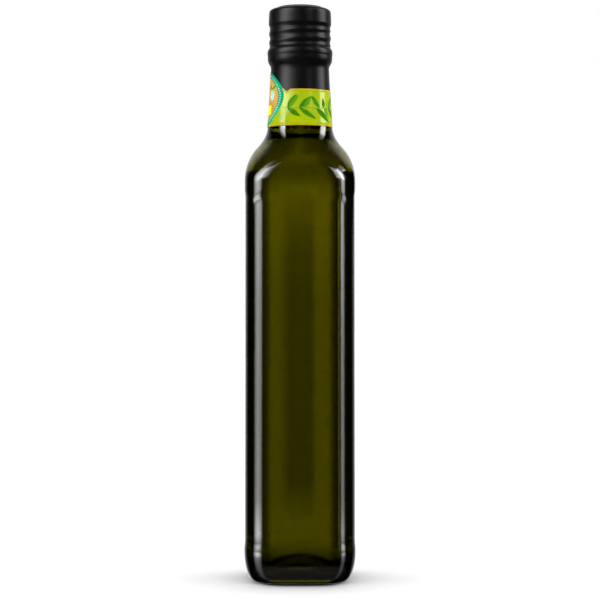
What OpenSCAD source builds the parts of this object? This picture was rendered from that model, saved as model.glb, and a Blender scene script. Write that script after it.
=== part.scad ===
// Slim square bottle of olive oil: green glass, the oil in it, a black screw cap in its
// shrink capsule, and a neck label with a round medallion. Millimetres.
// The origin is the middle of the base, +Z is up, and the medallion faces -X.

/* [Overall] */
// Height from the table to the top of the cap
total_h = 288; // [225:1:350]
// Width across two opposite faces, at the widest of the shoulder
body_w = 55; // [45:0.5:68]

/* [Body] */
// Radius of the four upright corners
corner_r = 13.3; // [9:0.1:17]
// How far the flat panels are let in below the shoulder and the heel
panel_in = 0.3; // [0:0.05:0.6]
// Height of the curve from the base to the upright wall
heel_h = 15; // [8:0.5:20]
// How far the heel's curve runs in under the wall
heel_in = 6.3; // [4:0.1:9]
// How far the heel stands proud of the shoulder
heel_out = 0.2; // [0:0.05:0.5]
// Radius of the hollow under the base
punt_r = 14; // [8:0.5:15]
// Depth of the hollow under the base
punt_h = 3; // [1:0.25:6]

/* [Glass] */
// Thickness of the walls and the shoulder
wall = 2.5; // [1.8:0.1:3.2]
// Thickness of the floor above the hollow
floor_t = 5; // [3:0.25:7]
// Thickness of the neck, under the label
neck_wall = 3; // [2:0.1:4]

/* [Shoulder and neck] */
// Height of the shoulder's rounded part
shoulder_h = 20.5; // [14:0.5:28]
// How far round its curve the shoulder turns before it hollows into the neck
shoulder_turn = 58; // [50:1:65]
// Height from the foot of the neck to the mouth
neck_h = 58; // [46:0.5:70]
// Outer radius at the foot of the neck
neck_foot_r = 16.35; // [15.5:0.05:18]
// Outer radius of the threaded part, under the cap
finish_r = 14.2; // [13:0.05:14.2]
// Inner radius at the mouth
bore_r = 9.5; // [8:0.1:11]
// Height of the mouth's straight bore
bore_h = 27; // [15:0.5:30]

/* [Oil] */
// Height of the oil above the foot of the neck, behind the label
oil_up = 9; // [2:0.5:14]

/* [Cap] */
// Height of the cap and its capsule
cap_h = 46; // [40:0.5:52]
// Radius of the cap's upper part
cap_r = 15.6; // [15.2:0.05:17]
// Thickness of the cap above the mouth
cap_top_t = 3; // [2:0.25:4]
// Height of the capsule's plain skirt
skirt_h = 14.8; // [10:0.2:18]
// Outer radius at the top of the skirt
skirt_r = 14.65; // [14.6:0.05:15.2]
// How far the bead above the skirt stands out past the cap's upper part
bead_out = 0.85; // [0.3:0.05:1.2]
// Number of soft thread rings that show through the capsule
thread_rings = 3; // [1:1:4]
// How far the thread rings stand out
thread_out = 0.25; // [0.05:0.05:0.4]
// Gap between the cap's bore and the glass
cap_gap = 0.15; // [0.05:0.05:0.3]

/* [Neck label] */
// Height of the label's band
band_h = 18.3; // [12:0.1:22]
// Height of the band's lower edge above the foot of the neck
band_up = 0.1; // [0:0.1:2]
// Radius of the medallion
medal_r = 13.9; // [10:0.1:15]
// Thickness of the label
label_t = 0.15; // [0.1:0.05:0.4]

/* [Hidden] */

sides = 48;        // points round each section of the glass
crowd = 6.9;       // degrees by which the points crowd towards the corners
core_r = 3;        // radius of the flat spot in the middle of the floor
corner_share = 0.7; // how much the corners' radius shrinks as the heel runs in
gap = 0.02;        // play between the label and what it is stuck to

half_w = body_w / 2;
mouth_z = total_h - cap_top_t;
neck_z = mouth_z - neck_h;
shoulder_rise = shoulder_h * sin(shoulder_turn);
hollow_h = 10.2;   // height of the hollow curve between the shoulder and the neck
shoulder_z = neck_z - hollow_h - shoulder_rise;
cap_z = total_h - cap_h;
skirt_z = cap_z + skirt_h;
oil_z = neck_z + oil_up;
band_z = neck_z + band_up;
medal_z = band_z + medal_r + 0.1;

// The flat panels end in an arch under the shoulder and straight above the heel.
panel_top = shoulder_z - 1.5;
panel_fade = 5;
arch_r = 55;
panel_bottom = heel_h + 1;

neck_flare = 0.26; // how much of the neck's taper lies in its flare towards the foot
neck_slope = 0.1;  // slope of the neck's wall where it meets the hollow curve

// ---- Small functions ----

function mix(a, b, t) = a + (b - a) * t;
function ease(t) = let (u = min(1, max(0, t))) u * u * (3 - 2 * u);
function reversed(list) = [for (i = [len(list) - 1 : -1 : 0]) list[i]];

// Point on a curve that leaves a towards b and arrives at c from b.
function bend(a, b, c, t) = mix(mix(a, b, t), mix(b, c, t), t);

// Outer radius of the neck and of the capsule's skirt, which are one smooth taper.
function neck_r(z) =
    let (s = (skirt_z - z) / (skirt_z - neck_z))
    skirt_r + (neck_foot_r - skirt_r) * ((1 - neck_flare) * s + neck_flare * s * s);

// ---- The glass, as sections [half width, corner radius, height] ----

// Distance from the axis to a rounded square's edge, in the direction of t degrees.
function reach(half, corner, t) =
    let (
        m = t % 90,
        f = m > 45 ? 90 - m : m,
        flat = max(half - corner, 0),
        along = flat * (cos(f) + sin(f))
    )
    half * tan(f) <= flat
        ? half / cos(f)
        : along + sqrt(along * along - 2 * flat * flat + corner * corner);

// How deep the panel is let in at height z, side millimetres from its middle.
function panel_cut(z, side) =
    panel_in
    * ease((panel_top - side * side / (2 * arch_r) - z) / panel_fade)
    * ease((z - panel_bottom) / panel_fade);

function bearing(i) = let (t = 360 * i / sides) t + crowd * sin(4 * t);

function section_point(s, i) =
    let (
        t = bearing(i),
        m = t % 90,
        side = s[0] * tan(m > 45 ? 90 - m : m),
        r = reach(s[0] - panel_cut(s[2], side), s[1], t)
    )
    [r * cos(t), r * sin(t), s[2]];

heel_half = half_w + heel_out;

// Under the base: out of the hollow to the ring that the bottle stands on.
punt = [for (t = [0.25, 0.55, 0.8, 1])
    let (r = mix(core_r, punt_r, t)) [r, r, punt_h * (1 - t * t)]];

heel_steps = 7;
heel = [for (i = [0 : heel_steps])
    let (a = 90 * (1 - i / heel_steps), in = heel_in * (1 - cos(a)))
    [heel_half - in, corner_r - corner_share * in, heel_h * (1 - sin(a))]];

fade_steps = [0, 0.3, 0.6, 1, 1.5];
panel_heights = concat(
    [for (t = fade_steps) panel_bottom + panel_fade * t],
    [for (t = reversed(fade_steps)) panel_top - panel_fade * t]);
panel = [for (z = panel_heights)
    [mix(heel_half, half_w, ease(z / shoulder_z)), corner_r, z]];

shoulder_in = neck_foot_r - 1.2;   // half width at which the shoulder's curve would lie flat
shoulder_steps = 8;
shoulder = [for (i = [0 : shoulder_steps])
    let (
        t = i / shoulder_steps,
        half = shoulder_in + (half_w - shoulder_in) * cos(shoulder_turn * t)
    )
    [half, mix(corner_r, half, ease(t)), shoulder_z + shoulder_h * sin(shoulder_turn * t)]];

// The hollow curve runs on in the shoulder's direction and turns up into the neck's.
shoulder_end = shoulder[shoulder_steps];
end_slope = (half_w - shoulder_in) / shoulder_h * tan(shoulder_turn);
turn_up = (shoulder_end[0] - neck_foot_r - neck_slope * hollow_h) / (end_slope - neck_slope);
hollow_mid = shoulder_end[0] - end_slope * turn_up;
hollow_steps = 5;
hollow = [for (i = [1 : hollow_steps])
    let (
        p = bend(
            [shoulder_end[0], shoulder_end[2]],
            [hollow_mid, shoulder_end[2] + turn_up],
            [neck_foot_r, neck_z],
            i / hollow_steps)
    )
    [p[0], p[0], p[1]]];

neck = [for (i = [1 : 3])
    let (z = mix(neck_z, cap_z - cap_gap, i / 3)) [neck_r(z), neck_r(z), z]];

lip = 1;           // rounding of the mouth's outer edge
finish = [
    [finish_r, finish_r, cap_z - cap_gap],
    [finish_r, finish_r, mouth_z - lip],
    [finish_r - lip, finish_r - lip, mouth_z]];

outside = concat(punt, heel, panel, shoulder, hollow, neck, finish);

// A section moved in by the wall's thickness, square to the curve between its neighbours.
function moved_in(list, i, t) =
    let (
        low = list[max(i - 1, 0)],
        high = list[min(i + 1, len(list) - 1)],
        run = [high[0] - low[0], high[2] - low[2]],
        out = [run[1], -run[0]] / norm(run)
    )
    [list[i][0] - t * out[0], list[i][1] - t * out[0], list[i][2] - t * out[1]];

inner_half = heel_half - wall;
inner_corner = corner_r - wall;

inner_floor = [for (t = [0.3, 0.65, 1])
    let (half = mix(core_r, inner_half - heel_in, t))
    [half, mix(half, inner_corner - corner_share * heel_in, t * t), floor_t + punt_h * (1 - t * t)]];

inner_heel_steps = 5;
inner_heel = [for (i = [1 : inner_heel_steps])
    let (a = 90 * (1 - i / inner_heel_steps), in = heel_in * (1 - cos(a)))
    [inner_half - in, inner_corner - corner_share * in, floor_t + heel_h * (1 - sin(a))]];

upper = concat([[half_w, corner_r, panel_top]], shoulder, hollow);
inner_upper = [for (i = [0 : len(upper) - 2]) moved_in(upper, i, mix(wall, neck_wall, i / len(upper)))];

function inner_neck(z) = let (r = neck_r(z) - neck_wall) [r, r, z];
bore_z = mouth_z - bore_h;
inner_neck_low = [inner_neck(neck_z), inner_neck(mix(neck_z, oil_z, 0.5))];
inner_neck_high = [
    inner_neck(mix(oil_z, bore_z, 0.35)),
    [bore_r, bore_r, bore_z],
    [bore_r, bore_r, mouth_z]];

filled = concat(inner_floor, inner_heel, inner_upper, inner_neck_low, [inner_neck(oil_z)]);
inside = concat(filled, inner_neck_high);

// ---- Shapes ----

// Closed skin over a list of sections, flat across the first and the last.
module skin(sections) {
    count = len(sections);
    points = [for (s = sections) for (i = [0 : sides - 1]) section_point(s, i)];
    walls = [for (k = [0 : count - 2]) for (i = [0 : sides - 1])
        let (
            j = (i + 1) % sides,
            a = k * sides + i, b = k * sides + j,
            c = a + sides, d = b + sides
        )
        each [[a, c, d], [a, d, b]]];
    first = [for (i = [0 : sides - 1]) i];
    last = [for (i = [sides - 1 : -1 : 0]) (count - 1) * sides + i];
    polyhedron(points, concat([first], walls, [last]), convexity = 6);
}

module bottle() {
    color([0.16, 0.17, 0.02])
        skin(concat(outside, reversed(inside)));
}

module oil() {
    color([0.62, 0.55, 0.05])
        skin(filled);
}

// Half of the capsule's outline, from the middle of the top down to the skirt's edge.
top_disc_r = cap_r - 4.4;
groove_z = total_h - 11;
bead_top_z = total_h - 20.8;
thread_h = groove_z - 1.5 - bead_top_z;

crown = [
    [0, total_h],
    [top_disc_r - 0.4, total_h],
    [top_disc_r, total_h - 0.3],
    [cap_r - 2.4, total_h - 0.95],
    [cap_r - 1.2, total_h - 1.35],
    [cap_r - 0.5, total_h - 1.85],
    [cap_r - 0.15, total_h - 2.4],
    [cap_r, total_h - 3.2],
    [cap_r + 0.2, total_h - 8.7],
    [cap_r + 0.05, total_h - 9.5],
    [cap_r - 0.4, groove_z]];

threads = [for (i = [1 : 6 * thread_rings])
    let (t = i / (6 * thread_rings))
    [cap_r - thread_out * (0.5 + 0.5 * cos(360 * thread_rings * t)), groove_z - 1.5 - thread_h * t]];

bead_h = bead_top_z - skirt_z;
bead = [
    [cap_r + 0.2 * bead_out, bead_top_z - 0.04 * bead_h],
    [cap_r + 0.75 * bead_out, bead_top_z - 0.12 * bead_h],
    [cap_r + bead_out, bead_top_z - 0.3 * bead_h],
    [cap_r + 0.78 * bead_out, bead_top_z - 0.42 * bead_h],
    [cap_r + 0.68 * bead_out, bead_top_z - 0.6 * bead_h],
    [cap_r + 0.35 * bead_out, bead_top_z - 0.7 * bead_h],
    [mix(skirt_r, cap_r, 0.5), bead_top_z - 0.8 * bead_h],
    [mix(skirt_r, cap_r, 0.08), bead_top_z - 0.9 * bead_h]];

skirt = [for (i = [0 : 5])
    let (z = mix(skirt_z, cap_z, i / 5)) [neck_r(z), z]];

module cap() {
    bore = finish_r + cap_gap;
    color([0.06, 0.06, 0.06])
        difference() {
            rotate_extrude($fn = 96)
                polygon(concat(crown, threads, bead, skirt, [[0, cap_z]]));
            translate([0, 0, cap_z - 1])
                cylinder(r = bore, h = mouth_z - cap_z + 1, $fn = 96);
        }
}

// The band and the medallion are cut from one thin sleeve that follows the neck's taper
// and ends under the capsule's bead.
module label_sleeve() {
    low = band_z;
    high = min(medal_z + medal_r + 1, skirt_z);
    steps = 8;
    heights = [for (i = [0 : steps]) mix(low, high, i / steps)];
    rotate_extrude($fn = 96)
        polygon(concat(
            [for (z = heights) [neck_r(z) + gap, z]],
            [for (z = reversed(heights)) [neck_r(z) + gap + label_t, z]]));
}

module label_outline() {
    reach_out = neck_foot_r + 5;
    translate([-reach_out, -reach_out, band_z])
        cube([2 * reach_out, 2 * reach_out, band_h]);
    translate([0, 0, medal_z])
        rotate([0, -90, 0])
            cylinder(r = medal_r, h = reach_out, $fn = 96);
}

module neck_label() {
    color([0.64, 0.76, 0.05])
        intersection() {
            label_sleeve();
            label_outline();
        }
}

bottle();
oil();
cap();
neck_label();
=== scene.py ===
"""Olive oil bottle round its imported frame: green glass, the oil in it, a black capsule over
the closure, and a printed neck label. The bottle's sizes are in millimetres and are scaled in
add_piece; the studio's are in metres."""
import math

import bpy
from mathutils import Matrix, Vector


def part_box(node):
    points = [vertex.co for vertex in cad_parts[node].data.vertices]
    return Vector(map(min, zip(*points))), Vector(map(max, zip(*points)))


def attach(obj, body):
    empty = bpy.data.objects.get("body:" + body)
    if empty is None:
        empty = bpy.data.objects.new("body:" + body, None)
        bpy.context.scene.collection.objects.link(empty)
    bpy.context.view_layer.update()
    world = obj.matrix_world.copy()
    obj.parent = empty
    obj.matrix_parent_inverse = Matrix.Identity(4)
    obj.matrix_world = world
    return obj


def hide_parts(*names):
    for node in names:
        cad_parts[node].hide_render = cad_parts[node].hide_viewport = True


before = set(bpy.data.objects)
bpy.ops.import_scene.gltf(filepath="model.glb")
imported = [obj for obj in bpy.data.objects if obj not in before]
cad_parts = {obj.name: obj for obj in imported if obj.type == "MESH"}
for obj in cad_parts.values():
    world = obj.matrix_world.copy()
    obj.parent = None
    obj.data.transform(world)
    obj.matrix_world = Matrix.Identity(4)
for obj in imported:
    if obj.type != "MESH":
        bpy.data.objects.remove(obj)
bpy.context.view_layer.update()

MM = 0.001


# ---- Sizes, from the frame where it has them ----

def box_mm(node):
    """Low and high corner of one of the frame's nodes, in millimetres."""
    low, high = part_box(node)
    return [c / MM for c in low], [c / MM for c in high]


GLASS_BOX = box_mm("bottle")
CAP_BOX = box_mm("cap")
LABEL_BOX = box_mm("neck_label")

HEEL_HALF = GLASS_BOX[1][0]
MOUTH_Z = GLASS_BOX[1][2]
OIL_Z = box_mm("oil")[1][2]
CAP_Z = CAP_BOX[0][2]
TOP_Z = CAP_BOX[1][2]
BAND_Z = LABEL_BOX[0][2]

HEEL_OUT = 0.2       # how far the heel stands out beyond the wall above it
HALF_W = HEEL_HALF - HEEL_OUT
CORNER_R = 13.3
CORNER_SHARE = 0.7   # share of the heel's run-in that its corner radius loses
PANEL_IN = 0.3
PANEL_FADE = 5       # height over which a panel's depth comes in
ARCH_R = 55          # radius of the arch that ends a panel at its top
HEEL_H = 15
HEEL_IN = 6.3        # how far the heel's curve runs in at the bottom
PUNT_R = 14          # the shallow hollow under the base
PUNT_H = 3
CORE_R = 3           # half width of the inner floor's middle
WALL = 2.5
FLOOR_T = 5
NECK_WALL = 3
SHOULDER_H = 20.5    # height of the whole oval that the shoulder's dome is a part of
SHOULDER_TURN = math.radians(58)
HOLLOW_H = 10.2      # height of the hollow curve between the dome and the neck
NECK_Z = BAND_Z - 0.1
NECK_FOOT_R = 16.35
NECK_FLARE = 0.26    # share of the neck's taper that widens faster towards its foot
NECK_SLOPE = 0.1     # how steeply the neck widens where the hollow curve meets it
FINISH_R = 14.2      # the neck inside the cap
BORE_R = 9.5
BORE_Z = MOUTH_Z - 27
LIP = 1
CAP_R = 15.6
CAP_GAP = 0.15       # clearance between the cap and the glass
SKIRT_Z = CAP_Z + 14.8
SKIRT_R = 14.65
BEAD_OUT = 0.85      # how far the capsule's bead stands out
BAND_H = 18.3
MEDAL_R = 13.9
MEDAL_Z = LABEL_BOX[1][2] - MEDAL_R
LABEL_GAP = 0.02
LABEL_T = 0.15

SHOULDER_Z = NECK_Z - HOLLOW_H - SHOULDER_H * math.sin(SHOULDER_TURN)
PANEL_TOP = SHOULDER_Z - 1.5
PANEL_BOTTOM = HEEL_H + 1

SIDES = 192          # points round the glass
CROWD = 6.9          # degrees by which they crowd towards the corners
OIL_GROW = 0.05      # how far the oil reaches into the glass


# ---- Small functions ----

def mix(a, b, t):
    return a + (b - a) * t


def ease(t):
    u = min(1.0, max(0.0, t))
    return u * u * (3 - 2 * u)


def bend(a, b, c, t):
    """Point on the curve that leaves a towards b and arrives at c from b."""
    return [mix(mix(p, q, t), mix(q, r, t), t) for p, q, r in zip(a, b, c)]


def spread(low, high, count):
    """count + 1 even steps from low to high."""
    return [mix(low, high, i / count) for i in range(count + 1)]


def neck_r(z):
    """Outer radius of the neck and of the capsule's skirt, one smooth taper."""
    s = (SKIRT_Z - z) / (SKIRT_Z - NECK_Z)
    return SKIRT_R + (NECK_FOOT_R - SKIRT_R) * ((1 - NECK_FLARE) * s + NECK_FLARE * s * s)


# ---- The glass, as sections (half width, corner radius, height) ----

def reach(half, corner, angle):
    """Distance from the axis to a rounded square's edge, in the direction of angle degrees."""
    m = angle % 90
    f = math.radians(90 - m if m > 45 else m)
    flat = max(half - corner, 0)
    if half * math.tan(f) <= flat:
        return half / math.cos(f)
    along = flat * (math.cos(f) + math.sin(f))
    return along + math.sqrt(max(along * along - 2 * flat * flat + corner * corner, 0))


def panel_cut(z, side):
    """How deep the flat panel is let in at height z, side millimetres from its middle."""
    top = ease((PANEL_TOP - side * side / (2 * ARCH_R) - z) / PANEL_FADE)
    return PANEL_IN * top * ease((z - PANEL_BOTTOM) / PANEL_FADE)


def section_ring(section, inset=True):
    """Points round one section; inset lets the flat panels in."""
    half, corner, z = section
    ring = []
    for i in range(SIDES):
        angle = 360 * i / SIDES
        angle += CROWD * math.sin(math.radians(4 * angle))
        m = angle % 90
        side = half * math.tan(math.radians(90 - m if m > 45 else m))
        cut = panel_cut(z, side) if inset else 0
        r = reach(half - cut, corner, angle)
        a = math.radians(angle)
        ring.append((r * math.cos(a), r * math.sin(a), z))
    return ring


def upright(low, high, count, inner=0.0):
    """Wall sections between two heights; inner is the wall's thickness."""
    return [(mix(HEEL_HALF, HALF_W, ease(z / SHOULDER_Z)) - inner, CORNER_R - inner, z)
            for z in spread(low, high, count)]


SHOULDER_IN = NECK_FOOT_R - 1.2


def shoulder_at(t):
    """Section of the shoulder's dome, t from 0 at the wall to 1 where the hollow starts."""
    half = SHOULDER_IN + (HALF_W - SHOULDER_IN) * math.cos(SHOULDER_TURN * t)
    return (half, mix(CORNER_R, half, ease(t)),
            SHOULDER_Z + SHOULDER_H * math.sin(SHOULDER_TURN * t))


def hollow_at(t):
    """Section of the hollow curve from the dome, t = 0, up to the neck, t = 1."""
    end = shoulder_at(1)
    slope = (HALF_W - SHOULDER_IN) / SHOULDER_H * math.tan(SHOULDER_TURN)
    turn_up = (end[0] - NECK_FOOT_R - NECK_SLOPE * HOLLOW_H) / (slope - NECK_SLOPE)
    middle = (end[0] - slope * turn_up, end[2] + turn_up)
    r, z = bend((end[0], end[2]), middle, (NECK_FOOT_R, NECK_Z), t)
    return (r, r, z)


def heel_at(half, corner, low, t):
    """Section of the heel's curve, t from 0 at the bottom to 1 at the wall."""
    a = math.pi / 2 * (1 - t)
    run_in = HEEL_IN * (1 - math.cos(a))
    return (half - run_in, corner - CORNER_SHARE * run_in, low + HEEL_H * (1 - math.sin(a)))


def outside_sections():
    """Outside of the glass, from the hollow under its base up to its mouth."""
    rings = []
    for t in spread(0.06, 0.96, 8):
        r = mix(0, PUNT_R, t)
        rings.append((r, r, PUNT_H * (1 - t * t)))
    for r, z in ((PUNT_R - 0.15, 0.09), (PUNT_R + 0.15, 0.02), (PUNT_R + 0.6, 0)):
        rings.append((r, r, z))
    foot = heel_at(HEEL_HALF, CORNER_R, 0, 0)
    rings.append((foot[0] - 2, foot[1], 0))
    rings += [heel_at(HEEL_HALF, CORNER_R, 0, t) for t in spread(0, 1, 18)]
    rings += upright(PANEL_BOTTOM, PANEL_BOTTOM + PANEL_FADE, 10)
    rings += upright(PANEL_BOTTOM + PANEL_FADE + 4, PANEL_TOP - 12, 20)
    rings += upright(PANEL_TOP - 11.6, PANEL_TOP, 26)
    rings += [shoulder_at(t) for t in spread(0, 1, 26)]
    rings += [hollow_at(t) for t in spread(0.06, 1, 16)]
    for z in spread(NECK_Z + 1, CAP_Z - CAP_GAP, 8):
        rings.append((neck_r(z), neck_r(z), z))
    for r, z in ((FINISH_R, CAP_Z - 0.1), (FINISH_R, CAP_Z + 0.2),
                 (FINISH_R, MOUTH_Z - LIP - 0.2), (FINISH_R, MOUTH_Z - LIP),
                 (FINISH_R - 0.3 * LIP, MOUTH_Z - 0.3 * LIP), (FINISH_R - LIP, MOUTH_Z)):
        rings.append((r, r, z))
    return rings


def moved_in(path, t, thick):
    """Section of path at t moved in by the wall's thickness, square to its curve."""
    here, low, high = path(t), path(max(t - 0.04, 0)), path(min(t + 0.04, 1))
    run = (high[0] - low[0], high[2] - low[2])
    size = math.hypot(*run)
    out = (run[1] / size, -run[0] / size)
    return (here[0] - thick * out[0], here[1] - thick * out[0], here[2] - thick * out[1])


def filled_sections():
    """Inside of the glass from the floor up to the oil's level; the wall thickens evenly
    from the shoulder to the neck."""
    half, corner = HEEL_HALF - WALL, CORNER_R - WALL
    rings = []
    for t in spread(0.04, 0.94, 8):
        h = mix(CORE_R, half - HEEL_IN, t)
        rings.append((h, mix(h, corner - CORNER_SHARE * HEEL_IN, t * t),
                      FLOOR_T + PUNT_H * (1 - t * t)))
    rings += [heel_at(half, corner, FLOOR_T, t) for t in spread(0, 1, 14)]
    start = (half, corner, FLOOR_T + HEEL_H)
    end = (HALF_W - WALL, corner, PANEL_TOP)
    rings += [tuple(mix(a, b, t) for a, b in zip(start, end)) for t in spread(0.05, 1, 19)]
    rings += [moved_in(shoulder_at, t, mix(WALL, NECK_WALL, (1 + 8 * t) / 15))
              for t in spread(0.04, 1, 22)]
    rings += [moved_in(hollow_at, t, mix(WALL, NECK_WALL, (9 + 5 * t) / 15))
              for t in spread(0.08, 0.8, 10)]
    for z in spread(NECK_Z, OIL_Z, 5):
        rings.append((neck_r(z) - NECK_WALL, neck_r(z) - NECK_WALL, z))
    return rings


def inside_sections():
    """Inside of the glass, from its floor up to its mouth."""
    rings = filled_sections()
    high = mix(OIL_Z, BORE_Z, 0.35)
    for r, z in ((neck_r(high) - NECK_WALL, high), (BORE_R, BORE_Z), (BORE_R, BORE_Z + 1),
                 (BORE_R, MOUTH_Z - 0.3), (BORE_R + 0.3, MOUTH_Z)):
        rings.append((r, r, z))
    return rings


# ---- Meshes ----

def add_piece(name, node, materials, verts, faces, picks=None):
    """A mesh object, given in millimetres, that stands for one of the frame's nodes."""
    mesh = bpy.data.meshes.new(name)
    mesh.from_pydata([tuple(c * MM for c in v) for v in verts], [], faces)
    for material in materials:
        mesh.materials.append(material)
    if picks:
        mesh.polygons.foreach_set("material_index", picks)
    mesh.polygons.foreach_set("use_smooth", [True] * len(mesh.polygons))
    mesh.update()
    piece = bpy.data.objects.new(name, mesh)
    bpy.context.scene.collection.objects.link(piece)
    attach(piece, "root")
    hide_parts(node)
    return piece


def skin(rings, low, high):
    """Closed skin over rings of points, from the middle point low to the middle point high."""
    count = len(rings[0])
    verts = [p for ring in rings for p in ring] + [low, high]
    faces = []
    for k in range(len(rings) - 1):
        for i in range(count):
            j = (i + 1) % count
            a, b = k * count + i, k * count + j
            faces.append((a, b, b + count, a + count))
    last = (len(rings) - 1) * count
    for i in range(count):
        j = (i + 1) % count
        faces.append((j, i, len(verts) - 2))
        faces.append((last + i, last + j, len(verts) - 1))
    return verts, faces


def make_bottle(material):
    outer, inner = outside_sections(), inside_sections()
    rings = [section_ring(s) for s in outer]
    rings += [section_ring(s, s[2] < PANEL_BOTTOM + PANEL_FADE) for s in reversed(inner)]
    verts, faces = skin(rings, (0, 0, PUNT_H), (0, 0, FLOOR_T + PUNT_H))
    return add_piece("bottle_glass", "bottle", [material], verts, faces)


def make_oil(material):
    grown = [(h + OIL_GROW, c + OIL_GROW, z - (OIL_GROW if z < HEEL_H else 0))
             for h, c, z in filled_sections()]
    rings = [section_ring(s, s[2] < PANEL_BOTTOM + PANEL_FADE) for s in grown]
    edge = grown[-1][0]
    for share in (0.995, 0.6, 0.2):
        rings.append(section_ring((edge * share, edge * share, OIL_Z)))
    verts, faces = skin(rings, (0, 0, FLOOR_T + PUNT_H - OIL_GROW), (0, 0, OIL_Z))
    return add_piece("olive_oil", "oil", [material], verts, faces)


# ---- The capsule ----

CAP_SIDES = 160
THREAD_PITCH = 4.5
THREAD_OUT = 0.22
THREAD_FOOT = TOP_Z - 20.5
THREAD_HEAD = TOP_Z - 11.6
THREAD_START = TOP_Z - 18.2   # height of the ridge where it faces -X


def softened(points):
    """The same line with its corners cut twice, end points kept."""
    for _ in range(2):
        line = [points[0]]
        for p, q in zip(points, points[1:]):
            line += [[mix(a, b, 0.25) for a, b in zip(p, q)],
                     [mix(a, b, 0.75) for a, b in zip(p, q)]]
        points = line + [points[-1]]
    return points


def capsule_profile():
    """Half outline from near the middle of the top down to the skirt's edge."""
    disc_r = CAP_R - 4.4
    groove_z = TOP_Z - 11
    bead_z = TOP_Z - 20.8
    bead_h = bead_z - SKIRT_Z
    crown = [[1, TOP_Z], [disc_r - 0.7, TOP_Z], [disc_r - 0.2, TOP_Z - 0.05],
             [disc_r, TOP_Z - 0.3], [disc_r + 0.4, TOP_Z - 0.42], [CAP_R - 2.4, TOP_Z - 0.95],
             [CAP_R - 1.2, TOP_Z - 1.35], [CAP_R - 0.5, TOP_Z - 1.85],
             [CAP_R - 0.15, TOP_Z - 2.4], [CAP_R, TOP_Z - 3.2], [CAP_R + 0.1, TOP_Z - 5.8],
             [CAP_R + 0.2, TOP_Z - 8.6], [CAP_R + 0.16, TOP_Z - 9.1],
             [CAP_R - 0.1, TOP_Z - 9.7], [CAP_R - 0.36, groove_z + 0.4],
             [CAP_R - 0.42, groove_z], [CAP_R - 0.36, groove_z - 0.5]]
    thread = [[CAP_R - 0.22, z] for z in spread(THREAD_HEAD, THREAD_FOOT, 44)]
    bead = [[CAP_R - 0.3, bead_z + 0.25], [CAP_R - 0.1, bead_z - 0.1],
            [CAP_R + 0.55 * BEAD_OUT, bead_z - 0.09 * bead_h],
            [CAP_R + 0.9 * BEAD_OUT, bead_z - 0.16 * bead_h],
            [CAP_R + BEAD_OUT, bead_z - 0.26 * bead_h],
            [CAP_R + 0.98 * BEAD_OUT, bead_z - 0.34 * bead_h],
            [CAP_R + 0.8 * BEAD_OUT, bead_z - 0.39 * bead_h],
            [CAP_R + 0.8 * BEAD_OUT, bead_z - 0.5 * bead_h],
            [CAP_R + 0.72 * BEAD_OUT, bead_z - 0.62 * bead_h],
            [CAP_R + 0.45 * BEAD_OUT, bead_z - 0.7 * bead_h],
            [CAP_R, bead_z - 0.78 * bead_h],
            [mix(SKIRT_R, CAP_R, 0.35), bead_z - 0.86 * bead_h],
            [mix(SKIRT_R, CAP_R, 0.1), bead_z - 0.94 * bead_h]]
    skirt = [[neck_r(z), z] for z in spread(SKIRT_Z - 0.4, CAP_Z + 0.1, 10)]
    return softened(crown) + thread + softened(bead) + skirt


def thread_rise(z, turn):
    """How far the soft helical ridge lifts the capsule at height z, turn radians round."""
    fade = ease((z - THREAD_FOOT) / 1.4) * ease((THREAD_HEAD - z) / 1.4)
    phase = 2 * math.pi * (z - THREAD_START) / THREAD_PITCH - (turn - math.pi)
    return THREAD_OUT * fade * math.cos(phase)


def make_capsule(material):
    rings = []
    for r, z in capsule_profile():
        ring = []
        for i in range(CAP_SIDES):
            a = 2 * math.pi * i / CAP_SIDES
            rise = thread_rise(z, a) if THREAD_FOOT < z < THREAD_HEAD else 0
            ring.append(((r + rise) * math.cos(a), (r + rise) * math.sin(a), z))
        rings.append(ring)
    bore = FINISH_R + CAP_GAP
    for r, z in ((neck_r(CAP_Z) - 0.05, CAP_Z), (bore + 0.05, CAP_Z), (bore, CAP_Z + 0.1),
                 (bore, MOUTH_Z - 0.1), (bore - 0.1, MOUTH_Z)):
        rings.append([(r * math.cos(2 * math.pi * i / CAP_SIDES),
                       r * math.sin(2 * math.pi * i / CAP_SIDES), z) for i in range(CAP_SIDES)])
    rings = [list(reversed(ring)) for ring in rings]
    verts, faces = skin(rings, (0, 0, TOP_Z), (0, 0, MOUTH_Z))
    return add_piece("capsule", "cap", [material], verts, faces)


# ---- The neck label ----
# Places on it are (turn, z): turn degrees round from the front, -Y, towards +X.

PRINT_T = 0.025      # thickness of one layer of print
NOTCH_DIP = 1.2      # depth of the notch in the band's top edge beside the medallion
NOTCH_W = 2.4        # width of the notch's outer side
NOTCH_TURN = 64      # how far round from the medallion's middle the notch lies, in degrees
NOTCH_CLIMB = 0.8    # slope of the notch's inner side
MEDAL_SIZE = (13.15, 13.75)   # half width and height of the medallion's paper
RING_OUT = (13.3, 13.9)
RING_IN = (11.3, 11.1)
DISC_RINGS = [0.04] + [k / 14 for k in range(1, 15)]   # close enough to follow the neck
LEAF_BELLY = 0.45    # how far along a leaf its widest place is
LEAF_STEPS = 12


def on_neck(turn, z, lift):
    """Point of the band, lift millimetres out from its underside."""
    r = neck_r(z) + LABEL_GAP + lift
    a = math.radians(turn)
    return (r * math.sin(a), -r * math.cos(a), z)


def medal_point(across, up, lift):
    """Point of the medallion, across towards the front and up from its middle."""
    z = MEDAL_Z + up
    r = neck_r(z) + LABEL_GAP + lift
    return (-math.sqrt(r * r - across * across), -across, z)


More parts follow.
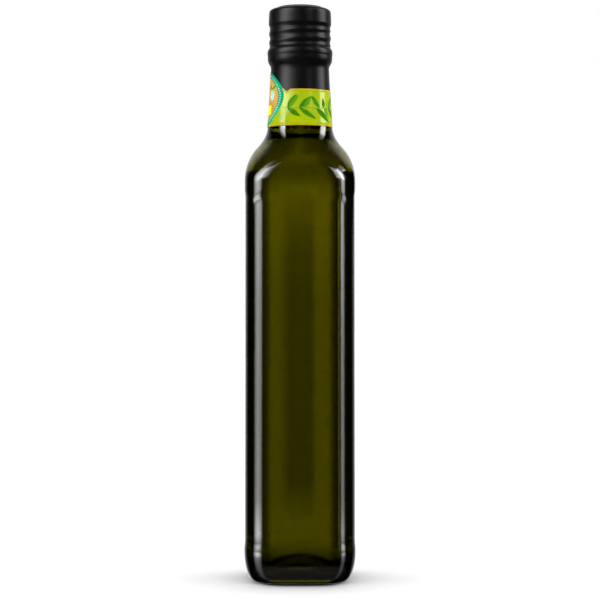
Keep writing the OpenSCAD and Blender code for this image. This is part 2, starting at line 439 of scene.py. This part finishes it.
def medal_turn(z):
    """How far round from -X the medallion's edge reaches at height z, in degrees."""
    up = z - MEDAL_Z
    if abs(up) >= MEDAL_R:
        return 0.0
    return math.degrees(math.asin(math.sqrt(MEDAL_R ** 2 - up ** 2) / neck_r(z)))


def band_top(turn):
    """Top edge of the band; beside the medallion it dips to a notch and climbs to the ring."""
    top = BAND_Z + BAND_H
    from_medal = abs((turn + 90 + 180) % 360 - 180)
    along = math.radians(from_medal - NOTCH_TURN) * neck_r(top)
    if along > 0:
        return top - NOTCH_DIP * (1 - ease(along / NOTCH_W))
    return min(top - NOTCH_DIP - NOTCH_CLIMB * along, top + 1.2)


def closed_sheet(grid, lift_low, lift_high, place, wraps):
    """A thin closed sheet over a grid of places, given as rows of equal length."""
    rows, count = len(grid), len(grid[0])
    verts = [place(*p, lift_high) for row in grid for p in row]
    verts += [place(*p, lift_low) for row in grid for p in row]
    half = rows * count
    faces = []
    stop = count if wraps else count - 1
    for k in range(rows - 1):
        for i in range(stop):
            j = (i + 1) % count
            a, b, c, d = k * count + i, k * count + j, (k + 1) * count + j, (k + 1) * count + i
            faces.append((a, b, c, d))
            faces.append((half + d, half + c, half + b, half + a))
    for i in range(stop):
        j = (i + 1) % count
        faces.append((half + i, half + j, j, i))
        top = (rows - 1) * count
        faces.append((top + i, top + j, half + top + j, half + top + i))
    if not wraps:
        for k in range(rows - 1):
            a, d = k * count, (k + 1) * count
            faces.append((a, d, half + d, half + a))
            a, d = a + count - 1, d + count - 1
            faces.append((d, a, half + a, half + d))
    return verts, faces


def disc_grid(size, rings, count, centre=(0, 0)):
    """Rows of places on ovals round centre, from a small one out to the full size."""
    rows = []
    for share in rings:
        row = []
        for i in range(count):
            a = 2 * math.pi * i / count
            row.append((centre[0] + share * size[0] * math.cos(a),
                        centre[1] + share * size[1] * math.sin(a)))
        rows.append(row)
    return rows


def lens(base, tip, width):
    """Outline rows of a leaf between two places, as left edge, midrib and right edge."""
    dx, dz = tip[0] - base[0], tip[1] - base[1]
    size = math.hypot(dx, dz)
    nx, nz = -dz / size, dx / size
    left, mid, right = [], [], []
    for i in range(LEAF_STEPS + 1):
        t = i / LEAF_STEPS
        skew = t ** (math.log(0.5) / math.log(LEAF_BELLY))
        w = width / 2 * math.sin(math.pi * skew) ** 0.85 if 0 < t < 1 else 0.02
        x, z = mix(base[0], tip[0], t), mix(base[1], tip[1], t)
        left.append((x + nx * w, z + nz * w))
        mid.append((x, z))
        right.append((x - nx * w, z - nz * w))
    return left, mid, right


def flat_to_neck(along, z, lift):
    """Place given as millimetres along the band from the front, wrapped on the neck."""
    return on_neck(math.degrees(along / neck_r(z)), z, lift)


class Print:
    """Gathers thin closed patches of one ink into one piece."""

    def __init__(self):
        self.verts, self.faces, self.picks = [], [], []

    def add(self, grid, low, high, place, wraps=False, pick=0):
        verts, faces = closed_sheet(grid, low, high, place, wraps)
        start = len(self.verts)
        self.verts += verts
        self.faces += [tuple(start + i for i in f) for f in faces]
        self.picks += [pick] * len(faces)

    def finish(self, name, materials):
        return add_piece(name, "neck_label", materials,
                         self.verts, self.faces, self.picks)


LIFT_BAND = LABEL_T
LIFT_MEDAL = LABEL_T + PRINT_T
PRINT_SINK = 0.01    # how far a print reaches into the layer below it

BAND_TURNS = [360 * i / 240 for i in range(240)]
BAND_ROWS = 10
LINE_LOW = 1.15      # height of the lower gold line
LINE_HIGH = 1.25     # height of the upper gold line

STEM_Z = BAND_Z + 8.8
STEM_HALF = 0.16
STEM_WAVE = 0.12
STEM_END = 0.6       # gap between the stem's ends and the medallion

# One sprig: where a leaf leaves the stem, where its tip is from there, and its width,
# in millimetres along the band and up; the last value picks the darker or lighter ink.
SPRIG = (
    (0.0, 4.7, 6.8, 3.0, 0),
    (0.8, 4.9, 6.4, 1.9, 1),
    (0.1, 6.3, -4.4, 2.5, 0),
    (5.8, 6.4, 5.8, 2.8, 0),
    (8.3, 3.8, 5.4, 1.7, 1),
    (5.8, 8.8, -5.6, 2.4, 0),
    (16.6, -4.6, 6.1, 2.3, 0),
    (14.6, 9.4, -7.0, 2.9, 0),
    (19.6, -0.6, 5.2, 2.1, 0),
    (19.9, 3.6, -4.3, 1.9, 1),
)
SPRIG_STEP = 23.5
SPRIG_START = -6.3

TAG_HALF = 6.9
TAG_UP = (-8, -3.2)
OLIVE_STEP = 6.9
OLIVE_UP = 1.6
OLIVE_SIZE = (2.0, 2.7)
OLIVE_LEAF_UP = (4.6, 7.0)
OLIVE_LEAF_OUT = 3.2
OLIVE_LEAF_W = 1.5
BEADS = 64
BEAD_R = 0.36
BEAD_SHARE = 0.62    # where the beads lie between the ring's outer and inner edge


def make_paper(ink):
    """The band with its notch, and the disc of paper under the medallion's print."""
    paper = Print()
    grid = [[(t, mix(BAND_Z, band_top(t), k / BAND_ROWS)) for t in BAND_TURNS]
            for k in range(BAND_ROWS + 1)]
    paper.add(grid, 0, LIFT_BAND, on_neck, wraps=True)
    paper.add(disc_grid(MEDAL_SIZE, DISC_RINGS, 120), 0, LIFT_MEDAL, medal_point, wraps=True)
    paper.finish("neck_label_paper", [ink])


def make_gold_lines(ink):
    """A gold line along each edge of the band; the upper one follows the notch."""
    lines = Print()
    for low, high, follows in ((0.0, LINE_LOW, False), (BAND_H - LINE_HIGH, BAND_H, True)):
        rows = []
        for share in (0, 0.5, 1):
            up = mix(low, high, share)
            rows.append([(t, BAND_Z + up - (BAND_Z + BAND_H - band_top(t) if follows else 0))
                         for t in BAND_TURNS])
        lines.add(rows, LIFT_BAND - PRINT_SINK, LIFT_BAND + PRINT_T * 0.6, on_neck, wraps=True)
    lines.finish("neck_label_gold_lines", [ink])


def make_sprig(dark, light, stem_ink):
    """The olive sprig on its stem, repeated from one side of the medallion to the other."""
    sprig = Print()
    low = LIFT_BAND - PRINT_SINK
    start = math.radians(-90 + medal_turn(STEM_Z)) * neck_r(STEM_Z) + STEM_END
    stop = math.radians(270 - medal_turn(STEM_Z)) * neck_r(STEM_Z) - STEM_END
    stem = []
    for side in (-STEM_HALF, STEM_HALF):
        stem.append([(s, STEM_Z + side + STEM_WAVE * math.sin(s * 0.55))
                     for s in spread(start, stop, 120)])
    sprig.add(stem, low, LIFT_BAND + PRINT_T * 0.8, flat_to_neck, pick=2)
    offset = SPRIG_START
    while offset < stop:
        for n, (leave, along, up, width, pick) in enumerate(SPRIG):
            base = (offset + leave, STEM_Z)
            tip = (base[0] + along, STEM_Z + up)
            if min(base[0], tip[0]) < start or max(base[0], tip[0]) > stop:
                continue
            lift = LIFT_BAND + PRINT_T * (0.9 + 0.1 * (n % 3))
            left, mid, right = lens(base, tip, width)
            sprig.add([right, mid], low, lift, flat_to_neck, pick=pick)
            sprig.add([mid, left], low, lift, flat_to_neck, pick=pick)
        offset += SPRIG_STEP
    sprig.finish("neck_label_sprig", [dark, light, stem_ink])


def add_olive(medal, across):
    """One pale olive on the medallion, with a leaf to each side above it."""
    olive = disc_grid(OLIVE_SIZE, [0.05, 0.35, 0.7, 1], 24, (across, OLIVE_UP))
    medal.add(olive, LIFT_MEDAL, LIFT_MEDAL + PRINT_T * 1.6, medal_point, True, 3)
    foot, top = OLIVE_LEAF_UP
    for side in (-1, 1):
        left, mid, right = lens((across, foot), (across + OLIVE_LEAF_OUT * side, top),
                                OLIVE_LEAF_W)
        for pair in ((right, mid), (mid, left)):
            medal.add(pair, LIFT_MEDAL, LIFT_MEDAL + PRINT_T * 1.4, medal_point, False, 4)


def make_medallion(disc, ring_ink, tag_ink, pale, leaf):
    """Tan face, teal ring with pale beads, a yellow box, and three olives."""
    medal = Print()
    face = disc_grid(RING_IN, DISC_RINGS, 120)
    medal.add(face, LIFT_MEDAL - PRINT_SINK, LIFT_MEDAL + PRINT_T * 0.8, medal_point, True, 0)
    ring = []
    for share in (0, 0.33, 0.67, 1):
        size = tuple(mix(a, b, share) for a, b in zip(RING_IN, RING_OUT))
        ring += disc_grid(size, (1,), 160)
    medal.add(ring, 0, LIFT_MEDAL + PRINT_T * 1.2, medal_point, True, 1)
    tag = [[(x, z) for x in spread(-TAG_HALF, TAG_HALF, 20)] for z in spread(*TAG_UP, 4)]
    medal.add(tag, LIFT_MEDAL, LIFT_MEDAL + PRINT_T * 1.6, medal_point, False, 2)
    for across in (-OLIVE_STEP, 0, OLIVE_STEP):
        add_olive(medal, across)
    for i in range(BEADS):
        a = 2 * math.pi * i / BEADS
        centre = (mix(RING_OUT[0], RING_IN[0], BEAD_SHARE) * math.cos(a),
                  mix(RING_OUT[1], RING_IN[1], BEAD_SHARE) * math.sin(a))
        bead = disc_grid((BEAD_R, BEAD_R), (0.1, 1), 10, centre)
        medal.add(bead, LIFT_MEDAL, LIFT_MEDAL + PRINT_T * 1.9, medal_point, True, 3)
    medal.finish("neck_label_medallion", [disc, ring_ink, tag_ink, pale, leaf])


# ---- Materials ----

GLASS_IOR = 1.52
OIL_IOR = 1.47
GLASS_RIPPLE = 0.000004   # metres
PAPER_ROUGH = 0.5
PAPER_GLOSS = 0.42
LEAF_GLOSS = 0.15


def new_material(name):
    material = bpy.data.materials.new(name)
    material.use_nodes = True
    tree = material.node_tree
    return material, tree, tree.nodes["Principled BSDF"]


def noise_of(tree, scale, detail=3.0):
    where = tree.nodes.new("ShaderNodeTexCoord")
    noise = tree.nodes.new("ShaderNodeTexNoise")
    noise.inputs["Scale"].default_value = scale
    noise.inputs["Detail"].default_value = detail
    tree.links.new(where.outputs["Object"], noise.inputs["Vector"])
    return noise.outputs["Fac"]


def add_bump(tree, shader, height, distance):
    bump = tree.nodes.new("ShaderNodeBump")
    bump.inputs["Distance"].default_value = distance
    bump.inputs["Strength"].default_value = 1.0
    tree.links.new(height, bump.inputs["Height"])
    tree.links.new(bump.outputs["Normal"], shader.inputs["Normal"])


def remap(tree, value, low, high):
    """The useful middle of a noise, stretched from low to high."""
    node = tree.nodes.new("ShaderNodeMapRange")
    node.inputs["From Min"].default_value = 0.3
    node.inputs["From Max"].default_value = 0.7
    node.inputs["To Min"].default_value = low
    node.inputs["To Max"].default_value = high
    tree.links.new(value, node.inputs["Value"])
    return node.outputs["Result"]


def paint_between(tree, shader, noise, dark, light, start=0.0, end=1.0):
    """Makes the base colour go from dark to light while the noise goes from start to end."""
    ramp = tree.nodes.new("ShaderNodeValToRGB")
    for stop, place, colour in zip(ramp.color_ramp.elements, (start, end), (dark, light)):
        stop.position = place
        stop.color = (*colour, 1)
    tree.links.new(noise, ramp.inputs["Fac"])
    tree.links.new(ramp.outputs["Color"], shader.inputs["Base Color"])


def clear_material(name, ior, colour, density, ripple=0.0):
    """Clear glass or liquid that takes its colour from how deep it is."""
    material, tree, shader = new_material(name)
    shader.inputs["Base Color"].default_value = (1, 1, 1, 1)
    shader.inputs["Roughness"].default_value = 0.0
    shader.inputs["IOR"].default_value = ior
    shader.inputs["Transmission Weight"].default_value = 1.0
    absorb = tree.nodes.new("ShaderNodeVolumeAbsorption")
    absorb.inputs["Color"].default_value = (*colour, 1)
    absorb.inputs["Density"].default_value = density
    tree.links.new(absorb.outputs["Volume"], tree.nodes["Material Output"].inputs["Volume"])
    if ripple:
        add_bump(tree, shader, noise_of(tree, 60, 1.0), ripple)
    return material


def ink_material(name, dark, light, scale, coat=0.0):
    """Printed paper: an ink that varies a little, under a thin gloss."""
    material, tree, shader = new_material(name)
    paint_between(tree, shader, noise_of(tree, scale), dark, light, 0.35, 0.65)
    fine = noise_of(tree, 2600, 2.0)
    tree.links.new(remap(tree, fine, PAPER_ROUGH - 0.03, PAPER_ROUGH + 0.03),
                   shader.inputs["Roughness"])
    shader.inputs["Specular IOR Level"].default_value = 0.02
    shader.inputs["Coat Weight"].default_value = coat
    shader.inputs["Coat Roughness"].default_value = 0.14
    add_bump(tree, shader, fine, 0.000004)
    return material


def capsule_material():
    material, tree, shader = new_material("satin_black_capsule")
    paint_between(tree, shader, noise_of(tree, 300), (0.0014, 0.0014, 0.0014),
                  (0.0026, 0.0026, 0.0026))
    fine = noise_of(tree, 1800, 2.0)
    tree.links.new(remap(tree, fine, 0.32, 0.38), shader.inputs["Roughness"])
    shader.inputs["Specular IOR Level"].default_value = 0.12
    add_bump(tree, shader, fine, 0.000006)
    return material


def make_label():
    """Each ink goes from its darker to its lighter colour."""
    paper = ink_material("label_lime", (0.3, 0.43, 0.0002), (0.39, 0.5, 0.0004), 160,
                         PAPER_GLOSS)
    gold = ink_material("label_gold", (0.42, 0.36, 0.0004), (0.54, 0.42, 0.0008), 300,
                        PAPER_GLOSS)
    dark = ink_material("label_leaf_dark", (0.025, 0.17, 0.0002), (0.07, 0.28, 0.0003), 500,
                        LEAF_GLOSS)
    light = ink_material("label_leaf_light", (0.07, 0.27, 0.0002), (0.15, 0.38, 0.0003), 500,
                         LEAF_GLOSS)
    stem = ink_material("label_stem", (0.18, 0.27, 0.0003), (0.26, 0.36, 0.0004), 500,
                        PAPER_GLOSS)
    tan = ink_material("label_tan", (0.52, 0.27, 0.045), (0.62, 0.38, 0.1), 120)
    teal = ink_material("label_teal", (0.002, 0.24, 0.08), (0.002, 0.45, 0.24), 110)
    yellow = ink_material("label_yellow", (0.85, 0.82, 0.01), (0.92, 0.85, 0.015), 300)
    pale = ink_material("label_pale", (0.3, 0.6, 0.42), (0.6, 0.85, 0.66), 700)
    make_paper(paper)
    make_gold_lines(gold)
    make_sprig(dark, light, stem)
    make_medallion(tan, teal, yellow, pale, light)


make_bottle(clear_material("green_glass_moulded", GLASS_IOR, (0.409, 0.416, 0.022), 800,
                           GLASS_RIPPLE))
make_oil(clear_material("olive_oil_liquid", OIL_IOR, (0.928, 0.892, 0.016), 80))
make_capsule(capsule_material())
make_label()


# ---- Studio ----
# Places here are in metres. Angles are in degrees: turn is 0 towards the camera and 90
# towards +X, and rise is 0 level and 90 straight up.

CAMERA_AWAY = 1.010
CAMERA_Z = 0.1402
CAMERA_LENS = 120

FLOOR_HALF = 8.0
FLOOR_WHITE = 0.8
FLOOR_TIGHT = 1.5         # how many times sooner the painted contact shadow ends beside and behind
# The painted contact shadow: how bright the floor's colour is by its distance from the
# footprint.
FLOOR_SHADE = ((0.0, 0.02), (0.0275, 0.03), (0.0295, 0.16), (0.033, 0.66), (0.038, 0.84),
               (0.046, 0.93), (0.06, 0.98), (0.1, 1))

# The table shade is a painted shadow: a see-through sheet under the floor, met only by rays
# through the glass.
TABLE_HALF = 0.08
TABLE_Z = -0.0003

# Painted shade and light: a see-through card close behind the bottle, met only by rays through
# the glass.
CARD_HALF = 0.03
CARD_Y = 0.0302
CARD_LOW = -0.002
CARD_HIGH = 0.21
PANEL_DIM = 0.58          # how much painted shade the card lays on the light of the back panel
PANEL_DIM_TOP = 0.1968
PANEL_DIM_HIGH = ((0, 0), (0.026, 0), (0.048, 1), (0.165, 1), (0.194, 0.3), (0.22, 0.3))
ARC_DIM = 0.97            # how dark the painted shade of the arc in the foot is
ARC_TOP = 0.0104
ARC_R = 0.05
ARC_LINE = 0.4            # how much light the painted pale line inside the arc lets back in

WHITE = (1, 1, 1, 1)
GLASS_TINT = (1, 1, 0.25, 1)      # of what is seen through the glass
HEEL_TINT = (1, 0.96, 0.01, 1)    # of what the heel reflects from straight below
HEEL_GLOW = 0.7


class Maths:
    """Short names for the maths nodes of one tree."""

    def __init__(self, tree):
        self.tree = tree

    def put(self, node, values):
        """Sets or links the node's sockets in order; None leaves one as it is."""
        for socket, value in zip(node.inputs, values):
            if value is None:
                continue
            if isinstance(value, (int, float, tuple)):
                socket.default_value = value
            else:
                self.tree.links.new(value, socket)

    def do(self, operation, *values):
        node = self.tree.nodes.new("ShaderNodeMath")
        node.operation = operation
        self.put(node, values)
        return node.outputs["Value"]

    def add(self, first, *others):
        for value in others:
            first = self.do("ADD", first, value)
        return first

    def times(self, first, *others):
        for value in others:
            first = self.do("MULTIPLY", first, value)
        return first

    def less(self, value, part):
        return self.do("SUBTRACT", value, part)

    def rise(self, value, low, high, to_low=0.0, to_high=1.0):
        """Smooth step from to_low to to_high while value goes from low to high."""
        node = self.tree.nodes.new("ShaderNodeMapRange")
        node.interpolation_type = "SMOOTHSTEP"
        self.put(node, (value, low, high, to_low, to_high))
        return node.outputs["Result"]

    def window(self, value, low, high, soft_low, soft_high=None):
        """1 between low and high and 0 outside, with edges soft_low and soft_high wide."""
        soft_high = soft_low if soft_high is None else soft_high
        up = self.rise(value, low - soft_low / 2, low + soft_low / 2)
        down = self.rise(value, high - soft_high / 2, high + soft_high / 2)
        return self.less(up, down)

    def curve(self, value, points):
        """Straight lines through points (value, result), level beyond the first and last."""
        node = self.tree.nodes.new("ShaderNodeValToRGB")
        ramp = node.color_ramp
        ramp.interpolation = "LINEAR"
        low, high = points[0][0], points[-1][0]
        most = max(y for _, y in points)
        while len(ramp.elements) > 1:
            ramp.elements.remove(ramp.elements[-1])
        for n, (x, y) in enumerate(points):
            place = (x - low) / (high - low)
            stop = ramp.elements[0] if n == 0 else ramp.elements.new(place)
            stop.position = place
            stop.color = (y / most, y / most, y / most, 1)
        share = self.do("DIVIDE", self.less(value, low), high - low)
        self.tree.links.new(share, node.inputs["Fac"])
        return self.times(node.outputs["Color"], most)

    def blend(self, share, first, second):
        """Colour from first to second while share goes from 0 to 1."""
        node = self.tree.nodes.new("ShaderNodeMix")
        node.data_type = "RGBA"
        self.put(node, (share, None, None, None, None, None, first, second))
        return node.outputs[2]


def stage_plane(name, corners, material):
    mesh = bpy.data.meshes.new(name)
    mesh.from_pydata(corners, [], [(0, 1, 2, 3)])
    mesh.materials.append(material)
    plane = bpy.data.objects.new(name, mesh)
    bpy.context.scene.collection.objects.link(plane)
    return plane


def level(size, z):
    return [(-size, -size, z), (size, -size, z), (size, size, z), (-size, size, z)]


def position_of(tree):
    split = tree.nodes.new("ShaderNodeSeparateXYZ")
    tree.links.new(tree.nodes.new("ShaderNodeNewGeometry").outputs["Position"],
                   split.inputs["Vector"])
    return split.outputs


def footprint_distance(m, x, y):
    """Distance from the axis, measured so that the bottle's footprint is a round square."""
    powers = [m.do("POWER", m.do("ABSOLUTE", c), 4) for c in (x, y)]
    return m.do("POWER", m.add(*powers), 0.25)


def make_floor():
    """The white floor, with a painted contact shadow that reaches furthest towards the camera.
    """
    material, tree, shader = new_material("studio_white")
    shader.inputs["Roughness"].default_value = 0.9
    shader.inputs["Specular IOR Level"].default_value = 0.0
    m = Maths(tree)
    x, y, _ = position_of(tree)
    tight = m.rise(y, -0.005, 0.005, 1, FLOOR_TIGHT)
    away = footprint_distance(m, m.times(x, FLOOR_TIGHT), m.times(y, tight))
    paint = m.times(m.curve(away, FLOOR_SHADE), FLOOR_WHITE)
    tree.links.new(paint, shader.inputs["Base Color"])
    floor = stage_plane("studio_floor", level(FLOOR_HALF, 0), material)
    floor.visible_glossy = False
    floor.visible_transmission = False


def see_through(name):
    """A material that only dims what is behind it, with its tree and its shader."""
    material = bpy.data.materials.new(name)
    material.use_nodes = True
    tree = material.node_tree
    tree.nodes.remove(tree.nodes["Principled BSDF"])
    shader = tree.nodes.new("ShaderNodeBsdfTransparent")
    tree.links.new(shader.outputs["BSDF"], tree.nodes["Material Output"].inputs["Surface"])
    return material, tree, shader


def seen_through_glass_only(plane):
    plane.visible_camera = False
    plane.visible_diffuse = False
    plane.visible_glossy = False
    plane.visible_shadow = False


def seen_in_reflections_only(plane):
    plane.visible_camera = False
    plane.visible_diffuse = False
    plane.visible_transmission = False
    plane.visible_shadow = False


def make_table_shade():
    """Painted shadow on the table right under and round the bottle, seen down through its base.
    """
    material, tree, shader = see_through("studio_table_shade")
    m = Maths(tree)
    x, y, _ = position_of(tree)
    shade = m.rise(footprint_distance(m, x, y), 0.024, 0.07, 0.02, 1.0)
    tree.links.new(shade, shader.inputs["Color"])
    seen_through_glass_only(stage_plane("studio_table_shade", level(TABLE_HALF, TABLE_Z),
                                        material))


def arch(m, x, top, radius):
    """Height of an arch over x, top at its middle."""
    return m.less(top, m.do("DIVIDE", m.times(x, x), 2 * radius))


def panel_light(m, x, z):
    """What is left of the light behind the back panel's middle, under an arch of painted shade.
    """
    across = m.less(m.rise(x, -0.0121, -0.0042), m.rise(x, 0.0051, 0.0087))
    edge = m.rise(m.less(z, arch(m, x, PANEL_DIM_TOP, ARCH_R * MM)), 0.0007, -0.0007)
    dim = m.times(across, edge, m.curve(z, PANEL_DIM_HIGH))
    return m.less(1, m.times(dim, PANEL_DIM))


def arc_light(m, x, z):
    """Light left under the painted dark arc in the foot, with a paler painted line inside it."""
    over = m.less(z, arch(m, x, ARC_TOP, ARC_R))
    dim = m.rise(over, 0.0004, -0.0004, 0, ARC_DIM)
    line = m.window(over, -0.0028, -0.0014, 0.0006)
    return m.less(1, m.less(dim, m.times(line, ARC_LINE)))


def make_back_shade_card():
    """A card close behind the bottle, painting shade on its back panel and the foot's dark arc.
    """
    material, tree, shader = see_through("studio_back_shade_card")
    m = Maths(tree)
    x, _, z = position_of(tree)
    tree.links.new(m.times(panel_light(m, x, z), arc_light(m, x, z)), shader.inputs["Color"])
    corners = [(-CARD_HALF, CARD_Y, CARD_LOW), (CARD_HALF, CARD_Y, CARD_LOW),
               (CARD_HALF, CARD_Y, CARD_HIGH), (-CARD_HALF, CARD_Y, CARD_HIGH)]
    seen_through_glass_only(stage_plane("studio_back_shade_card", corners, material))


def make_flag(name, faces_x, stands, ends, heights, soft_ends, soft_low, soft_high):
    """A dark upright plane with soft edges, at x or y = stands, met by reflections only."""
    material, tree, shader = see_through("studio_flag_" + name)
    m = Maths(tree)
    x, y, z = position_of(tree)
    along = y if faces_x else x
    dim = m.times(m.window(along, *ends, soft_ends),
                  m.window(z, *heights, soft_low, soft_high))
    tree.links.new(m.less(1, dim), shader.inputs["Color"])
    first, last = ends[0] - soft_ends / 2, ends[1] + soft_ends / 2
    low, high = heights[0] - soft_low / 2, heights[1] + soft_high / 2
    corners = []
    for place, height in ((first, low), (last, low), (last, high), (first, high)):
        corners.append((stands, place, height) if faces_x else (place, stands, height))
    seen_in_reflections_only(stage_plane("studio_flag_" + name, corners, material))


def make_flags():
    """Flags that keep a box out of the reflections of one place each."""
    # Beside the neck on the right.
    make_flag("neck", faces_x=True, stands=0.03, ends=(-0.038, -0.0165),
              heights=(0.22, 0.31), soft_ends=0.003, soft_low=0.003, soft_high=0.02)

    # Beside the shoulder on the right.
    make_flag("shoulder", faces_x=True, stands=0.04, ends=(-0.029, 0.002),
              heights=(0.18, 0.218), soft_ends=0.006, soft_low=0.03, soft_high=0.003)

    # In front of the foot of the neck.
    make_flag("foot", faces_x=False, stands=-0.02, ends=(-0.015, 0.012),
              heights=(0.2165, 0.236), soft_ends=0.003, soft_low=0.003, soft_high=0.006)


def box_light(m, turn, rise):
    """The soft boxes, each as its strength round the bottle times its strength in height."""
    left = m.curve(turn, ((-90, 0), (-84, 0), (-80, 0.12), (-76, 0.4), (-70, 0.74), (-64, 0.95),
                          (-60, 1), (-55, 0.88), (-50, 0.62), (-45, 0.42), (-42, 0.05),
                          (-36, 0.01), (-20, 0)))
    left_high = m.curve(rise, ((-90, 0.1), (-60, 0.4), (-42, 0.9), (-30, 1.5), (-20, 2.4),
                               (-13.5, 4), (-11.5, 6), (-8.5, 13), (-6.9, 15), (-5.8, 5.6),
                               (-3, 5.2), (0, 6), (2, 8.2), (4.5, 10), (6, 18), (20, 16),
                               (38, 12), (46, 8), (54, 3), (62, 0), (90, 0)))
    right = m.curve(turn, ((40, 0), (51, 0.02), (55, 0.2), (59, 0.8), (63, 1), (67, 0.85),
                           (70, 0.6), (74, 0.25), (78, 0), (90, 0)))
    right_high = m.curve(rise, ((-90, 0), (-60, 0.3), (-42, 0.6), (-20, 1.4), (-13, 2.4),
                                (-11, 3.6), (-8.5, 7), (-6.9, 8), (-5.8, 3.6), (-1, 4.4),
                                (1, 6.5), (3, 8.5), (5, 11), (7, 20), (26, 16), (38, 8),
                                (48, 4), (60, 1.5), (68, 0), (90, 0)))

    # Further round on the right and above level: the highlight on the neck and the capsule.
    upper = m.window(turn, 80, 106, 6)
    upper_high = m.curve(rise, ((-90, 0), (4.2, 0), (5.2, 12), (18, 12), (36, 11), (42, 3),
                                (55, 0), (90, 0)))

    # A little up and nearer to the camera: the wide tops of the shoulders' highlights.
    inner = m.curve(turn, ((-90, 0), (-58, 0), (-50, 7), (-43, 13), (-36, 9), (-29, 6), (-22, 3),
                           (-15, 1.6), (-8, 0), (28, 0), (36, 3), (43, 7.5), (50, 11), (58, 13),
                           (66, 8), (74, 4), (82, 0), (90, 0)))
    inner_high = m.window(rise, 12, 46, 10)
    return m.add(m.times(left, left_high), m.times(right, right_high),
                 m.times(upper, upper_high), m.times(inner, inner_high))


def room_light(m, turn, rise):
    """The pale room behind the bottle, and the table in front of it."""
    aside = m.do("ABSOLUTE", turn)
    room = m.curve(aside, ((0, 0), (118, 0), (126, 0.07), (134, 0.24), (144, 0.52), (156, 0.78),
                           (180, 0.85)))
    table = m.times(m.rise(rise, -24, -33, 0, 0.15), m.rise(aside, 105, 70, 0.08, 1))
    return m.add(m.times(room, m.window(rise, -22, 50, 16)), table)


def light_through_glass(m, off, rise):
    """A narrow bright backdrop on each of the four sides, off degrees from its middle, and
    lower down the pale table, which the shoulders and the neck's foot gather."""
    backdrop = m.curve(off, ((0, 1), (1, 1), (1.8, 0.78), (3.5, 0.48), (5.5, 0.24), (7.5, 0.13),
                             (9.2, 0.25), (9.7, 2.4), (10.3, 0.4), (12, 0.05), (45, 0.03)))
    backdrop_high = m.curve(rise, ((-90, 0.75), (-9, 0.75), (-7, 0.64), (-5.5, 0.52), (0, 0.57),
                                   (2.4, 0.82), (5, 0.95), (90, 1)))
    table = m.curve(off, ((0, 0.95), (4, 0.72), (10, 0.5), (23, 0.42), (29, 3.2), (45, 3.2)))
    down = m.rise(rise, -9, -14)
    return m.add(m.times(backdrop, backdrop_high, m.less(1, down)), m.times(table, down))


def make_world():
    """White to the camera, and its own light for matt surfaces, reflections and glass."""
    world = bpy.data.worlds.new("studio_light")
    bpy.context.scene.world = world
    world.use_nodes = True
    world.cycles.sampling_method = "NONE"
    tree = world.node_tree
    m = Maths(tree)
    ray = tree.nodes.new("ShaderNodeLightPath").outputs
    split = tree.nodes.new("ShaderNodeSeparateXYZ")
    tree.links.new(tree.nodes.new("ShaderNodeTexCoord").outputs["Generated"],
                   split.inputs["Vector"])
    x, y, z = split.outputs
    degrees = 180 / math.pi
    rise = m.times(m.do("ARCSINE", z), degrees)
    turn = m.times(m.do("ARCTAN2", x, m.times(y, -1)), degrees)
    off = m.do("ABSOLUTE", m.do("WRAP", m.times(m.do("ARCTAN2", x, y), degrees), 45, -45))

    # Straight below, the light that has come through the green base, seen in the heel.
    under = m.rise(rise, -75, -80)
    mirrored = m.add(box_light(m, turn, rise), room_light(m, turn, rise),
                     m.times(under, HEEL_GLOW))

    # Light that falls on matt surfaces, stronger from the sides than from the front.
    soft = m.rise(m.do("ABSOLUTE", turn), 15, 75, 0.95, 1.7)

    # A ray that has gone through glass counts as glossy too, so it is taken out again.
    transmitted = ray["Is Transmission Ray"]
    reflected = m.times(ray["Is Glossy Ray"], m.less(1, transmitted))
    total = m.add(ray["Is Camera Ray"], m.times(ray["Is Diffuse Ray"], soft),
                  m.times(reflected, mirrored),
                  m.times(transmitted, light_through_glass(m, off, rise)))
    colour = m.blend(transmitted, WHITE, GLASS_TINT)
    colour = m.blend(m.times(reflected, under), colour, HEEL_TINT)
    tree.links.new(colour, tree.nodes["Background"].inputs["Color"])
    tree.links.new(total, tree.nodes["Background"].inputs["Strength"])


def make_camera():
    camera = bpy.data.cameras.new("camera")
    camera.lens = CAMERA_LENS
    camera.sensor_width = 36
    camera.clip_start = 0.05
    camera.clip_end = 40
    eye = bpy.data.objects.new("camera", camera)
    eye.location = (0, -CAMERA_AWAY, CAMERA_Z)
    eye.rotation_euler = (math.radians(90), 0, 0)
    bpy.context.scene.collection.objects.link(eye)
    bpy.context.scene.camera = eye


make_floor()
make_table_shade()
make_back_shade_card()
make_flags()
make_world()
make_camera()

scene = bpy.context.scene
scene.view_settings.view_transform = "Standard"
scene.cycles.max_bounces = 32
scene.cycles.transmission_bounces = 32
scene.cycles.glossy_bounces = 12
scene.cycles.diffuse_bounces = 4
scene.cycles.volume_bounces = 0
